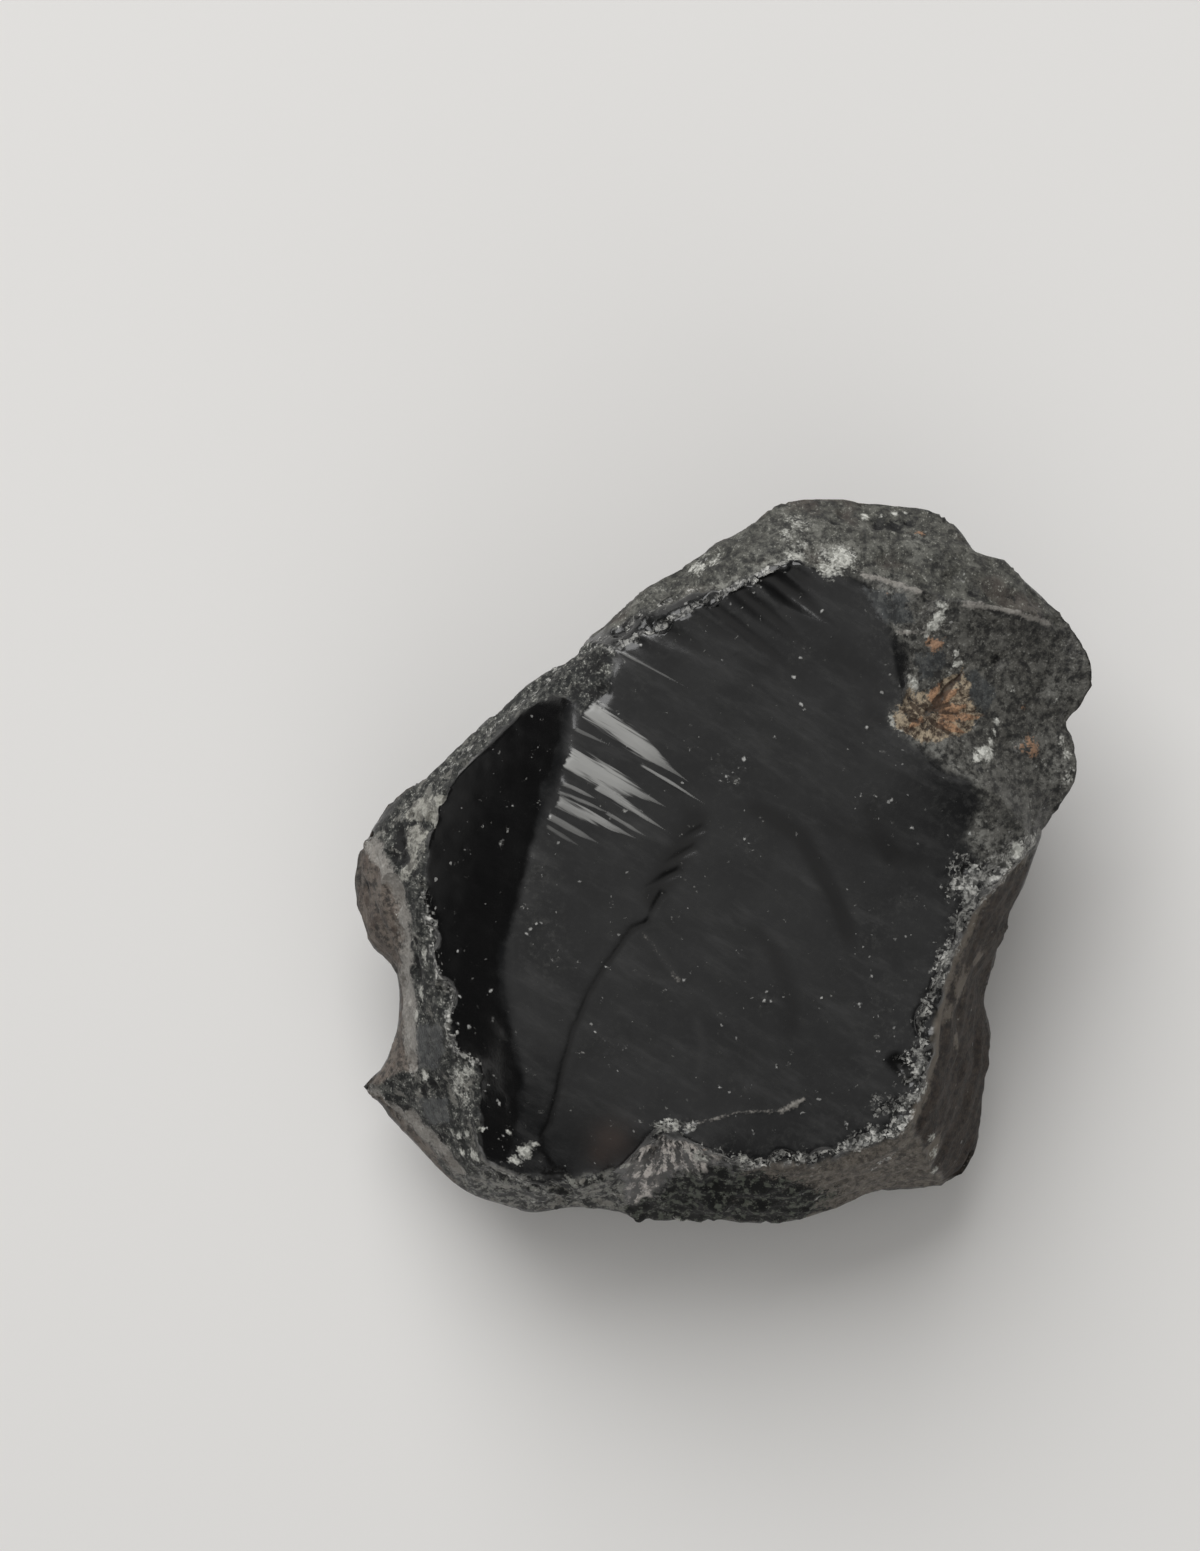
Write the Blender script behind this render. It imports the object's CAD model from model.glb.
"""The looks of the obsidian chunk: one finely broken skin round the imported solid.

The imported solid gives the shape. Its skin is subdivided with its edges kept sharp, then struck
and carved in real relief: flake scars, the large shell break's ripples, crack, hackle plumes and
streaks, bruised rims, weathered skin, streaked walls and rust. Attributes that say how strongly
each feature shows drive one node material.

Lengths here are millimetres unless a name says otherwise. Features of the upper side are placed
by pixels of the 1200 x 1551 view from straight above, each dropped onto the skin where a line of
sight through its pixel meets it.
"""

import math

import bmesh
import bpy
import numpy as np
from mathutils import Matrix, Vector
from mathutils.bvhtree import BVHTree
from mathutils.kdtree import KDTree


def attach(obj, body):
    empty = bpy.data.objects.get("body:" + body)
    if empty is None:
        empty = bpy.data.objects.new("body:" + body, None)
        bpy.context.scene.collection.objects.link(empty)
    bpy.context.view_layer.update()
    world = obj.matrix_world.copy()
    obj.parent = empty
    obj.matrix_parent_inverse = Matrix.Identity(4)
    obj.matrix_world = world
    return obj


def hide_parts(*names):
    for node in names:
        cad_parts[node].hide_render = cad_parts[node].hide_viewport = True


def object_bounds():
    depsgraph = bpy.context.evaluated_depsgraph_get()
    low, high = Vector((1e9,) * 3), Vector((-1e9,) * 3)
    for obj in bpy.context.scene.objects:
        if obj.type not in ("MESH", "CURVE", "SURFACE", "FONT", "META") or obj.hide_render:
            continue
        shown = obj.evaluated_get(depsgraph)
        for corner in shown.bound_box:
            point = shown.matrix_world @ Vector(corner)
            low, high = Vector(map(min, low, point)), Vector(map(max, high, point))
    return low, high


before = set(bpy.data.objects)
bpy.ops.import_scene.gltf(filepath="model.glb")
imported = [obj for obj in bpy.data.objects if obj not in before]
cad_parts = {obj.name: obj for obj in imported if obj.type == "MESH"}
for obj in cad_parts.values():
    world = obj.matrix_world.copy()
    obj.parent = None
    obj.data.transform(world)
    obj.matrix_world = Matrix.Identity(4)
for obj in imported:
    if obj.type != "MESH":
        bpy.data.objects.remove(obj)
cad_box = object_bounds()

MM = 0.001
NODE = "obsidian_chunk"

# The view from above
PICTURE_SIZE = (1200, 1551)  # pixels
PIXEL = 0.046  # size of one pixel on the floor
PIXEL_ON_TOP = 0.0433  # size of one pixel on the stone's upper side
VIEW_HEIGHT = 242.0  # camera above the floor
VIEW_AXIS = (-5.31, 4.04)  # where the camera stands over the floor
BESIDE = 0.965  # how far down a line of sight that misses the stone its nearest place is sought
SENSOR = 36.0  # over the picture's height
FLOOR_SIZE = 6.0  # metres
GLOW_FROM = (-0.10, 0.06, 1.0)  # the way towards the brightest part of the overhead glow

# Skin
CREASE_ANGLE = math.radians(24.0)  # a sharper edge of the solid stays an edge
LOOP_LEVELS = 2
FINEST_EDGE = 0.08  # longest triangle side at specks, plumes, crumbs, crack, front ridge, rust
FINE_EDGE = 0.14  # ... at bruised rims
SKIN_EDGE = 0.25  # ... on the weathered skin and the rough break
UPPER_EDGE = 0.41  # ... elsewhere on the upper side
LOWER_EDGE = 0.50  # ... on the underside
FINEST_REACH = 0.10  # how far from such a feature its fine triangles go
FINE_REACH = 0.28
SPLIT_ROUNDS = 6
RELAX_ROUNDS = 5

# Bruised rims: (line of pixels, width in pixels, strength)
CREST = ((607, 652), (640, 634), (664, 620), (713, 598), (762, 573), (793, 556))
LEFT_RIM = (
    (473, 760), (443, 789), (426, 837), (423, 895), (433, 956), (447, 1011), (452, 1052),
    (478, 1066), (480, 1135), (488, 1158), (507, 1162),
)
LEFT_WALL_TOP = (
    (367, 838), (378, 862), (391, 890), (402, 932), (406, 960), (406, 993), (411, 1040), (411, 1067),
)
LOWER_LEFT_TOP = ((366, 1087), (411, 1119), (451, 1156), (467, 1180))
RIGHT_RIM = (
    (1033, 843), (1010, 862), (985, 882), (972, 905), (962, 930), (950, 960), (938, 985),
    (930, 1022), (929, 1060), (918, 1090), (905, 1112),
)
FRONT_RIM = (
    (905, 1115), (893, 1133), (873, 1138), (833, 1153), (806, 1165), (786, 1160), (757, 1167),
    (727, 1157),
)
CHIP_TOP = ((618, 1167), (627, 1153), (657, 1140), (697, 1147), (727, 1157))
ROUGH_EDGE = ((884, 598), (890, 630), (905, 690), (892, 716), (948, 770), (968, 840), (978, 862))
FRONT_RIDGE = ((655, 1131), (697, 1124), (733, 1113), (777, 1111), (805, 1097))
BRUISES = (
    (CREST, 6, 0.66),
    (((566, 664), (600, 640), (640, 614), (684, 588)), 12, 0.4),
    (((443, 771), (473, 745), (517, 706), (561, 667)), 9, 0.5),
    (((1033, 843), (1015, 857)), 14, 0.95),
    (((1004, 868), (985, 880), (966, 884)), 23, 0.9),
    (((978, 900), (964, 922)), 17, 0.7),
    (((952, 938), (944, 952)), 12, 0.4),
    (((956, 948), (944, 970)), 14, 0.82),
    (((940, 985), (930, 1000), (929, 1012)), 9, 0.74),
    (((929, 1012), (926, 1055)), 7, 0.6),
    (((924, 1060), (912, 1080)), 12, 0.8),
    (((918, 1050), (904, 1060)), 8, 0.46),
    (((926, 1090), (905, 1104), (880, 1108)), 11, 0.72),
    (((905, 1118), (890, 1133), (862, 1142)), 11, 0.84),
    (((862, 1142), (846, 1150)), 9, 0.8),
    (((846, 1150), (833, 1154), (820, 1159)), 6.5, 0.62),
    (((814, 1160), (803, 1163)), 9, 0.8),
    (((796, 1160), (780, 1160), (770, 1165)), 6.5, 0.7),
    (((764, 1167), (748, 1168), (733, 1162), (718, 1157), (704, 1156)), 7.5, 1.05),
    (((893, 1157), (870, 1170)), 7, 0.6),
    (LEFT_WALL_TOP, 9, 0.66),
    (LOWER_LEFT_TOP, 9, 0.62),
    (LEFT_RIM[3:6], 10, 0.56),
    (LEFT_RIM[5:8], 8, 0.56),
    (((657, 1132), (674, 1127), (690, 1126)), 9, 0.56),
    (((640, 1156), (662, 1142), (690, 1144), (715, 1154)), 9, 0.66),
    (((480, 1168), (520, 1180), (560, 1200), (612, 1196)), 12, 0.46),
)
# Thin pale lines: (line of pixels, width in pixels, strength)
THREADS = (
    (FRONT_RIDGE, 2.4, 0.27),
    (((779, 1112), (790, 1106), (798, 1102), (806, 1098)), 2.6, 0.62),
    (((856, 571), (890, 581), (927, 594)), 4.2, 0.8),
    (((958, 602), (1010, 610), (1056, 625)), 4.6, 0.75),
    (((893, 631), (915, 633), (930, 632)), 3, 0.7),
    (((368, 836), (377, 858), (390, 884), (401, 914), (408, 950)), 10, 1.2),
    (((404, 930), (408, 960), (408, 993), (412, 1040), (412, 1076)), 8, 1.1),
    (LOWER_LEFT_TOP, 6.5, 0.85),
    (((640, 930), (662, 955), (682, 985)), 3, 0.2),
)
DUSTY_LINES = (RIGHT_RIM, FRONT_RIM, LEFT_RIM[2:], CREST, ROUGH_EDGE, ((530, 860), (545, 960)))
LONGEST_STEP = 1.2  # between two places along a line, in millimetres; longer is a fall
DUSTY_REACH = 1.9  # how far from these lines dust gathers on the glass
# More dust on the glass: (x, y, radius, strength), in pixels
DUSTY_PATCHES = (
    (604, 1040, 16, 0.9), (732, 772, 18, 1), (748, 842, 14, 0.9), (884, 1000, 20, 1),
    (636, 690, 12, 0.5), (540, 930, 18, 0.9), (800, 650, 18, 0.7), (872, 800, 16, 0.8),
    (764, 1000, 12, 0.8), (906, 900, 18, 0.8), (735, 1085, 12, 0.6), (824, 1120, 16, 0.6),
    (480, 1000, 24, 0.8), (500, 1110, 20, 0.9), (520, 760, 30, 0.5), (796, 528, 24, 0.9),
    (838, 556, 24, 1), (782, 560, 16, 0.8), (640, 600, 18, 0.6), (1058, 768, 26, 0.9),
    (1020, 800, 20, 0.7), (912, 536, 18, 0.6), (700, 556, 14, 0.6), (1060, 690, 16, 0.6),
    (975, 760, 18, 0.7), (990, 640, 14, 0.4), (962, 986, 18, 0.9), (950, 1012, 14, 0.8),
    (978, 958, 12, 0.8), (932, 1150, 18, 1), (955, 1040, 10, 0.6), (872, 930, 22, 0.9),
    (890, 1030, 22, 0.9), (866, 1076, 16, 0.6),
)

CRACK = (
    (648, 922), (634, 928), (622, 944), (604, 968), (586, 1000), (572, 1036), (564, 1062),
    (557, 1092), (549, 1122), (542, 1136), (541, 1152), (552, 1164),
)

# How far noise shakes the outlines: in pixels, on steep walls in pixels, and spots in millimetres
RAGGED = 4.5
WALL_RAGGED = 30.0
TORN = 0.16

# Areas on the upper side, in pixels of the view
DARK_EDGE = (
    (605, 649), (585, 672), (566, 700), (556, 745), (540, 790), (530, 850), (516, 904),
    (499, 950), (497, 993), (509, 1036), (519, 1076), (516, 1122), (507, 1160),
)
SOFT_EDGE = DARK_EDGE[1:-1]  # here the face rolls over into the scar without an edge
SOFT_REACH = 26.0  # pixels to either side
SOFT_LEAST_HEIGHT = 9.0  # only this far above the floor, in millimetres
BLACK_SCAR = (*LEFT_RIM[::-1], (517, 716), (561, 676), *DARK_EDGE)
SKIN = (
    (575, 655), (612, 628), (640, 616), (690, 594), (725, 585), (762, 568), (793, 554),
    (826, 575), (858, 572), (929, 592), (1002, 608), (1055, 627), (1120, 640), (1120, 460),
    (700, 460), (540, 640),
)
ROUGH_BREAK = (
    (858, 571), (884, 598), (890, 630), (912, 652), (905, 690), (892, 716), (906, 738),
    (925, 750), (948, 770), (970, 776), (980, 800), (968, 840), (978, 862), (1010, 866),
    (1040, 860), (1120, 820), (1120, 600), (1055, 627), (1002, 609), (929, 593),
)
RUST_STAR = (
    (893, 716), (902, 702), (908, 684), (920, 690), (934, 692), (950, 676), (966, 668),
    (972, 686), (968, 700), (982, 716), (976, 728), (958, 736), (940, 742), (918, 741), (902, 731),
)
RUST_CENTRE = (934, 710)
RUST_NEEDLES = (
    ((934, 706), (964, 686), 9), ((938, 711), (972, 704), 8), ((940, 716), (986, 718), 8),
    ((938, 722), (968, 734), 7), ((930, 700), (944, 680), 6), ((926, 718), (906, 730), 5),
)
DARK_NEEDLES = (
    ((926, 718), (970, 664), 7), ((928, 712), (976, 694), 4), ((924, 716), (908, 690), 4),
    ((930, 718), (966, 744), 4), ((922, 722), (898, 712), 3.5), ((936, 712), (990, 712), 3),
)
RIGHT_WALL = (
    (1040, 848), (1014, 868), (990, 889), (978, 910), (967, 934), (955, 962), (943, 988),
    (935, 1022), (934, 1060), (923, 1092), (909, 1116), (946, 1200), (1010, 1200), (1020, 1000),
    (1075, 860),
)
FRONT_WALL = (
    (909, 1116), (893, 1138), (862, 1149), (820, 1163), (780, 1167), (740, 1170), (725, 1190),
    (730, 1260), (950, 1230), (946, 1200),
)
MOSS = (
    (634, 1206), (654, 1194), (672, 1176), (692, 1167), (727, 1166), (757, 1174), (786, 1178),
    (812, 1186), (834, 1190), (828, 1208), (800, 1232), (740, 1240), (680, 1236), (640, 1222),
)
FRONT_CHIP = (
    (623, 1168), (627, 1157), (640, 1150), (652, 1148), (657, 1138), (690, 1142), (706, 1152),
    (722, 1158), (704, 1166), (687, 1170), (678, 1164), (667, 1178), (660, 1190), (643, 1203),
    (631, 1192),
)
LOWER_FRONT = (
    (487, 1166), (540, 1178), (600, 1176), (614, 1168), (628, 1196), (643, 1203), (667, 1187),
    (687, 1172), (700, 1166), (725, 1166), (735, 1250), (480, 1250), (467, 1180),
)
LEFT_WALL = (*LEFT_WALL_TOP, (400, 1080), (363, 1087), (300, 1090), (300, 800), (366, 815))
LOWER_LEFT_WALL = (*LOWER_LEFT_TOP, (487, 1260), (300, 1260), (300, 1087))
RIM_STRIP = (
    (405, 800), (405, 785), (440, 752), (473, 722), (517, 682), (561, 645), (592, 638),
    (614, 650), (608, 682), (598, 704), (584, 714), (560, 692), (519, 711), (476, 750), (443, 775),
)
LEFT_SHELF = (
    (405, 790), (451, 766), *LEFT_RIM[1:9], (487, 1166), *LOWER_LEFT_TOP[::-1],
    *LEFT_WALL_TOP[::-1],
)
PALE_FACETS = (
    ((410, 800), (440, 791), (434, 826), (404, 817)),
    ((405, 822), (425, 830), (416, 872), (397, 884), (401, 855)),
)
BLUE_FACETS = (
    ((414, 1024), (440, 1022), (445, 1050), (440, 1068), (416, 1070)),
    ((414, 1100), (446, 1098), (450, 1122), (430, 1124)),
    ((917, 654), (944, 650), (948, 664), (934, 682), (920, 678)),
    ((940, 690), (975, 670), (1000, 690), (985, 712), (970, 700)),
    ((862, 586), (905, 594), (915, 622), (886, 628)),
)

# Hackle plumes: (start, end, width at the start, brightness), in pixels
PLUMES = (
    ((588, 707), (686, 780), 24, 1),
    ((640, 764), (708, 806), 5, 0.7),
    ((567, 757), (664, 806), 27, 1),
    ((596, 786), (668, 832), 10, 0.8),
    ((562, 783), (604, 802), 5, 0.5),
    ((558, 791), (616, 816), 5, 0.45),
    ((557, 801), (640, 840), 13, 0.8),
    ((548, 816), (604, 846), 8, 0.42),
    ((606, 812), (652, 840), 5, 0.42),
    ((546, 826), (586, 850), 5, 0.25),
    ((575, 729), (614, 747), 4, 0.3),
    ((617, 650), (694, 691), 3.5, 0.36),
)
HACKLE_SLOPE = math.radians(-31)  # the way plumes and streaks run, seen from above

# Dark streaks: (start, end, width at the start, darkness), in pixels
STREAKS = (
    ((756, 568), (846, 634), 30, 1),
    ((726, 582), (826, 662), 24, 0.8),
    ((640, 620), (742, 672), 24, 0.5),
    ((704, 600), (836, 706), 16, 0.6),
    ((684, 610), (796, 682), 18, 0.45),
    ((786, 566), (836, 606), 22, 0.55),
    ((735, 650), (822, 714), 14, 0.35),
    ((776, 604), (870, 668), 16, 0.35),
    ((618, 632), (704, 680), 14, 0.3),
    ((708, 826), (676, 843), 9, 0.5),
    ((700, 846), (656, 868), 10, 0.55),
    ((684, 869), (640, 890), 11, 0.58),
    ((666, 890), (640, 934), 10, 0.58),
)
STREAK_FALL = 0.40  # how steeply a streak's sides fall, as height over distance

# Soft bands of the shell break: (points, width, darkness), in pixels
ARCS = (
    (((734, 798), (770, 816), (802, 838), (822, 872), (842, 912), (858, 960)), 17, 0.8),
    (((745, 918), (772, 948), (790, 990), (796, 1050)), 18, 0.5),
    (((811, 814), (860, 838), (900, 862), (935, 866)), 20, 0.45),
    (((864, 800), (884, 836), (902, 866)), 18, 0.5),
    (((700, 800), (694, 830), (676, 858), (658, 890), (650, 920)), 24, 0.75),
    (((560, 700), (552, 745), (545, 790)), 14, 0.4),
    (((640, 930), (662, 955), (682, 985)), 6, -0.45),
    (((694, 1010), (703, 1046), (697, 1086)), 7, -0.4),
    (((890, 1052), (905, 1072), (914, 1086)), 15, 0.8),
    (((820, 640), (870, 680), (880, 740)), 34, 0.4),
)
CHIP_BLOW = (668, 1092)  # where the chip at the front was struck; its ribs fan out from here
BLOW = (672, 1188)  # where the large shell break was struck; its ripples run round this place
ARCH = (
    (703, 804), (684, 856), (650, 884), (605, 973), (571, 1042), (548, 1127), (560, 1165),
    (618, 1165), (660, 1128), (805, 1097), (862, 1060), (862, 990), (836, 897), (811, 846),
    (782, 829), (738, 806),
)

# Pale crumbs and crusts, and the other spots: (x, y, radius, strength), in pixels
PALE_SPOTS = (
    (456, 1090, 9, 0.75), (468, 1072, 9, 0.75), (466, 1102, 9, 0.66), (472, 1116, 6, 0.5),
    (701, 1158, 8, 0.9), (688, 1150, 6, 0.7), (628, 1165, 6, 0.7), (795, 518, 9, 0.5),
    (802, 545, 11, 0.55), (790, 560, 8, 0.6), (847, 558, 11, 0.8), (826, 552, 8, 0.6),
    (532, 1203, 6, 0.9), (460, 1136, 5, 0.7), (1062, 740, 8, 0.45), (1066, 780, 9, 0.45),
    (1030, 800, 10, 0.35), (1052, 700, 6, 0.45), (660, 586, 7, 0.5), (706, 556, 6, 0.5),
    (742, 540, 6, 0.5), (620, 614, 6, 0.5), (508, 700, 6, 0.5), (454, 748, 6, 0.5),
    (843, 559, 14, 1), (826, 567, 13, 0.75), (796, 553, 11, 0.85), (800, 524, 13, 0.6),
    (786, 536, 10, 0.6), (698, 566, 13, 0.65), (714, 560, 9, 0.6), (864, 513, 5, 1),
    (880, 513, 4, 0.8), (893, 512, 5, 0.9), (908, 513, 4, 0.8), (915, 686, 8, 1), (911, 677, 4, 0.9),
    (942, 606, 6, 0.9), (938, 616, 7, 1), (932, 628, 7, 1), (926, 635, 5, 0.9), (908, 633, 4, 0.8),
    (896, 632, 4, 0.6), (956, 652, 5, 0.9), (958, 664, 5, 0.9), (951, 674, 4, 0.8),
    (986, 753, 8, 1.3), (978, 757, 5, 1), (998, 722, 4.5, 0.9), (996, 733, 4, 0.8),
    (992, 742, 4, 0.7), (1066, 752, 6, 0.8), (1072, 768, 6, 0.6), (1012, 690, 4, 0.6),
    (894, 718, 6, 0.9), (900, 729, 5, 0.7), (396, 907, 5, 1), (424, 956, 7, 0.9), (420, 974, 6, 0.7),
    (422, 993, 8, 1), (417, 1018, 7, 1), (412, 1004, 5, 0.7), (424, 1074, 7, 0.8),
    (438, 1078, 6, 0.8), (462, 1080, 14, 0.7), (452, 1132, 6, 0.8), (466, 1134, 7, 0.8),
    (474, 1156, 8, 1.2), (464, 1153, 6, 1), (526, 1150, 8, 1.3), (514, 1160, 7, 1.3),
    (534, 1144, 4, 0.9), (482, 1128, 4, 0.8), (510, 1131, 4, 0.7), (664, 1128, 8, 0.7),
    (676, 1125, 8, 0.6), (688, 1128, 6, 0.5), (622, 1165, 6, 1.1), (700, 1153, 6, 0.9),
    (744, 1160, 6, 0.9), (930, 1138, 9, 0.75), (933, 1154, 10, 0.75), (936, 1168, 6, 1),
    (545, 1204, 5, 1), (686, 1219, 6, 0.8), (676, 1217, 5, 0.7), (816, 1200, 5, 1),
    (1020, 850, 7, 1.2), (970, 1010, 3.5, 0.7), (960, 1018, 3, 0.9),
)
RUST_SPOTS = (
    (937, 645, 7, 1), (929, 642, 5, 0.8), (1031, 747, 9, 1), (1022, 744, 5, 0.7), (918, 531, 7, 0.6),
    (1024, 708, 4, 0.5), (706, 1150, 5, 0.5), (888, 593, 3, 0.6),
)
STAINS = ((610, 1140, 20, 0.7), (600, 1152, 14, 0.6))  # brown tints on the glass
DARK_SPOTS = (
    (538, 1184, 15, 1), (553, 1181, 14, 1), (566, 1188, 9, 0.9), (498, 1174, 8, 0.9),
    (590, 1184, 9, 0.9), (614, 1180, 9, 0.9), (432, 1084, 8, 0.9), (420, 1004, 8, 0.9),
    (418, 972, 8, 0.9), (424, 1092, 8, 0.9), (416, 940, 7, 0.8), (440, 1140, 8, 0.9),
    (398, 834, 10, 1), (403, 858, 10, 1), (588, 668, 16, 0.7), (598, 690, 13, 0.7),
    (574, 690, 12, 0.65), (604, 656, 8, 0.6), (690, 560, 5, 0.6), (640, 600, 5, 0.6),
    (835, 520, 6, 0.6), (972, 590, 7, 0.6), (1000, 660, 6, 0.5), (1040, 690, 6, 0.6),
    (399, 845, 11, 1), (391, 856, 8, 0.9), (414, 960, 7, 1), (880, 521, 8, 1), (895, 523, 9, 1),
    (908, 520, 5, 0.9), (620, 1181, 8, 1), (536, 1188, 7, 1), (548, 1186, 8, 1), (899, 1066, 7, 0.9),
    (914, 1084, 6, 0.8), (416, 965, 6, 1), (934, 993, 4.5, 1.1), (425, 1088, 7, 0.9),
    (966, 869, 6, 0.9), (1071, 727, 9, 0.9), (412, 1020, 3, 0.7), (366, 886, 7, 0.7),
    (412, 816, 3, 0.8), (420, 822, 3.5, 0.9), (428, 828, 3, 0.8), (982, 925, 5, 0.5),
)
FRONT_LUMPS = (  # (x, y, radius)
    (700, 1182, 15), (722, 1172, 12), (742, 1190, 16), (772, 1184, 14), (720, 1204, 14),
    (756, 1210, 13), (798, 1190, 13), (786, 1210, 12), (806, 1206, 9), (690, 1202, 12),
    (742, 1220, 8), (560, 1190, 10),
)

# Specks on the glass: (x, y, radius), in pixels
SPECKS = (
    (802, 705, 3.5), (806, 710, 2.5), (689, 974, 2.8), (684, 981, 3.2), (766, 993, 2.8),
    (764, 1002, 2.2), (770, 1002, 2), (777, 1065, 3), (860, 1003, 3.6), (797, 834, 2.8),
    (743, 760, 3), (738, 768, 2.6), (746, 767, 2.2), (726, 775, 2.6), (732, 772, 2), (720, 780, 2),
    (822, 612, 2.2), (866, 727, 2.8), (891, 800, 3), (875, 797, 2.4), (907, 796, 2.2),
    (860, 796, 2.2), (912, 828, 2.4), (970, 833, 3), (918, 845, 3), (576, 883, 2.4), (531, 929, 3.2),
    (538, 924, 2.6), (526, 934, 2.2), (502, 841, 3.2), (473, 755, 2.6), (820, 858, 2.2),
    (746, 840, 2.2), (822, 998, 2.4), (884, 1008, 2.4), (873, 1018, 2.4), (892, 936, 3),
    (606, 966, 2), (622, 1050, 2.2), (594, 1032, 2), (800, 658, 2.6), (794, 676, 2.8), (776, 738, 2),
    (832, 636, 2), (845, 1122, 3.2), (812, 1110, 2), (753, 1130, 2.4), (864, 946, 2.2),
    (872, 976, 2.4), (720, 1086, 2), (464, 849, 2.6), (672, 700, 1.8), (603, 694, 2),
    (705, 650, 1.8), (640, 644, 2.4), (884, 1060, 2.2), (473, 979, 2.8), (461, 996, 2.6),
    (491, 990, 3.2), (493, 1018, 2.8), (458, 1024, 3), (469, 1026, 2.6), (446, 1045, 2.8),
    (500, 1104, 3.4), (486, 1127, 2.6), (503, 1136, 3), (458, 952, 2.2), (487, 960, 2),
    (514, 806, 2.4), (551, 816, 2.4), (682, 783, 2.8), (816, 1091, 2),
)

# Which attribute each area gives: how softly its outline fades, in pixels, and its outlines
AREAS = {
    "scar": (7.0, BLACK_SCAR), "skin": (3.0, SKIN), "rough": (6.0, ROUGH_BREAK),
    "right_wall": (2.5, RIGHT_WALL), "left_wall": (2.5, LEFT_WALL, LOWER_LEFT_WALL),
    "front_wall": (2.5, FRONT_WALL), "lower_front": (3.0, LOWER_FRONT), "moss": (12.0, MOSS),
    "chip": (2.0, FRONT_CHIP), "shelf": (2.5, LEFT_SHELF, RIM_STRIP), "rust": (3.5, RUST_STAR),
    "pale_facet": (4.0, *PALE_FACETS), "blue_facet": (4.0, *BLUE_FACETS),
}
# ... and which attribute each list of spots gives
BLOBS = {
    "stain": STAINS, "pale": PALE_SPOTS, "rust_spot": RUST_SPOTS, "dark_spot": DARK_SPOTS,
    "speck": SPECKS, "lump": FRONT_LUMPS,
}

# Flake scars below and behind: (azimuth, elevation, radius, depth), degrees and millimetres,
# each struck where a line from that direction meets the stone
LOW_SCARS = (
    (18, -22, 10.0, 0.80), (52, -8, 7.0, 0.55), (78, -25, 9.0, 0.75), (104, -6, 8.0, 0.60),
    (128, -28, 11.0, 0.90), (146, -6, 6.0, 0.40), (166, -20, 7.0, 0.60), (192, -26, 8.0, 0.60),
    (214, -14, 5.0, 0.40), (238, -24, 7.0, 0.55), (262, -12, 5.5, 0.40), (284, -26, 7.0, 0.55),
    (306, -14, 5.0, 0.45), (334, -22, 8.0, 0.60), (352, -2, 6.0, 0.50), (38, -42, 8.0, 0.40),
    (112, -50, 8.0, 0.35), (200, -46, 8.0, 0.35), (290, -50, 8.0, 0.35), (248, 2, 4.5, 0.35),
)
MIDDLE = Vector((0.0, 0.0, 7.0))  # the place inside the stone that these lines aim at
OUTSIDE = 60.0  # how far from it they start
SCAR_RIPPLE = 0.022  # height of the ripples in a flake scar
SCAR_WAVE = 0.85  # from one ripple to the next

CHIP_REACH = 0.7  # the skin within this far of a small chip says which way is outwards
# Small chips along the rims: (line of pixels, how many, least and greatest radius)
CHIPPED_LINES = (
    (RIGHT_RIM, 9, 0.5, 1.2), (FRONT_RIM, 6, 0.5, 1.1), (LEFT_RIM[:6], 5, 0.5, 1.2),
    (CREST, 4, 0.4, 0.8), (LEFT_WALL_TOP, 6, 0.6, 1.3),
    (LOWER_LEFT_TOP, 5, 0.6, 1.3), (((566, 664), (640, 612), (722, 574)), 4, 0.5, 1.0),
)


# ---- repeatable noise -------------------------------------------------------------------------


def random_grid(ix, iy, iz, seed):
    """A repeatable number from 0 to 1 for each whole-numbered place."""
    n = ix * np.uint32(0x27D4EB2F) + iy * np.uint32(0x165667B1) + iz * np.uint32(0x9E3779B1)
    n = n + np.uint32(seed * 7919 + 17)
    n = (n ^ (n >> np.uint32(15))) * np.uint32(0x85EBCA6B)
    n = (n ^ (n >> np.uint32(13))) * np.uint32(0xC2B2AE35)
    n = n ^ (n >> np.uint32(16))
    return n.astype(float) / (2.0**32 - 1.0)


def chance(index, seed):
    """A repeatable number from 0 to 1 for the index-th draw."""
    place = np.array([index], np.uint32)
    return float(random_grid(place, place, place, seed)[0])


def value_noise(places, seed):
    """Smooth noise from -1 to 1 with bumps about one unit across."""
    base = np.floor(places)
    part = places - base
    part = part**3 * (part * (part * 6.0 - 15.0) + 10.0)
    ix, iy, iz = base.astype(np.int64).astype(np.uint32).T
    fx, fy, fz = part.T
    total = np.zeros(len(places))
    for corner in range(8):
        dx, dy, dz = corner & 1, corner >> 1 & 1, corner >> 2
        weight = (fx if dx else 1.0 - fx) * (fy if dy else 1.0 - fy) * (fz if dz else 1.0 - fz)
        total += weight * random_grid(
            ix + np.uint32(dx), iy + np.uint32(dy), iz + np.uint32(dz), seed
        )
    return total * 2.0 - 1.0


def rough_noise(places, size, octaves, seed):
    """Noise from about -1 to 1: bumps of the given size with finer ones on them."""
    total = np.zeros(len(places))
    strength = 1.0
    for octave in range(octaves):
        total += strength * value_noise(places / size * 2.0**octave, seed + octave)
        strength *= 0.5
    return total / 1.5


def smooth_step(low, high, values):
    """0 below low, 1 above high, smooth between."""
    t = np.clip((values - low) / (high - low), 0.0, 1.0)
    return t * t * (3.0 - 2.0 * t)


# ---- places seen from above -------------------------------------------------------------------


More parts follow.
